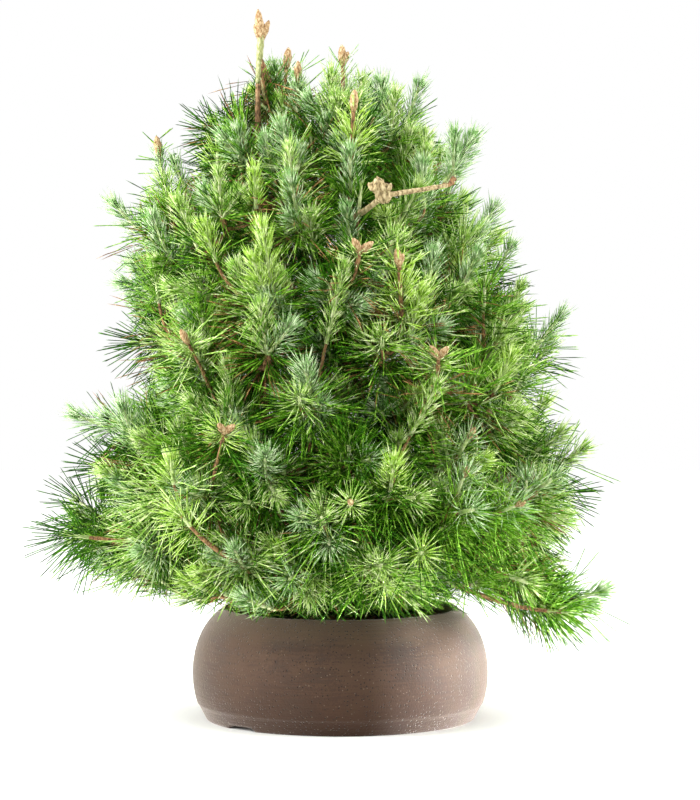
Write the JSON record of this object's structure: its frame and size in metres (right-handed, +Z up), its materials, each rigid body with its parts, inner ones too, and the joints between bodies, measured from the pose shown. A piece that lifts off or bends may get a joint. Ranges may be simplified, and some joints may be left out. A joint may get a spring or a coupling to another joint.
{
  "type": "aleppo pine bonsai in a bowl",
  "caption": "Bushy young aleppo pine trained as a bonsai, with a dense dome of needle shoots over a leaning trunk, standing in soil in a round unglazed stoneware bowl with an incurved rim",
  "frame": {"origin": "centre of the bowl's flat underside", "axes": "+Z up along the bowl axis, -Y the front of the picture, +X to the right of the picture"},
  "size_m": [0.4024, 0.3653, 0.479],
  "materials": {
    "stoneware": "unglazed thrown stoneware with fine pale grog, matt",
    "soil": "moist granular potting soil",
    "bark": "grey-brown young pine bark, matt",
    "needles": "fresh green needles with a low waxy sheen"
  },
  "bodies": {
    "root": {"bough_01": "bark", "bough_02": "bark", "bough_03": "bark", "bough_04": "bark", "bough_05": "bark", "bough_06": "bark", "bough_07": "bark", "bough_08": "bark", "bough_09": "bark", "bough_10": "bark", "bough_11": "bark", "bough_12": "bark", "bough_13": "bark", "bough_14": "bark", "bough_15": "bark", "bough_16": "bark", "bough_17": "bark", "bough_18": "bark", "bough_19": "bark", "bough_20": "bark", "bough_21": "bark", "bough_22": "bark", "bough_23": "bark", "bough_bare_branch": "bark", "bowl": "stoneware", "needles_01": "needles", "needles_02": "needles", "needles_03": "needles", "needles_04": "needles", "needles_05": "needles", "needles_06": "needles", "needles_07": "needles", "needles_08": "needles", "needles_09": "needles", "needles_10": "needles", "needles_11": "needles", "needles_12": "needles", "needles_13": "needles", "needles_14": "needles", "needles_15": "needles", "needles_16": "needles", "needles_17": "needles", "needles_18": "needles", "needles_19": "needles", "needles_20": "needles", "needles_21": "needles", "needles_22": "needles", "needles_23": "needles", "needles_bare_branch": "needles", "needles_leader": "needles", "soil": "soil", "trunk": "bark"}
  },
  "joints": []
}
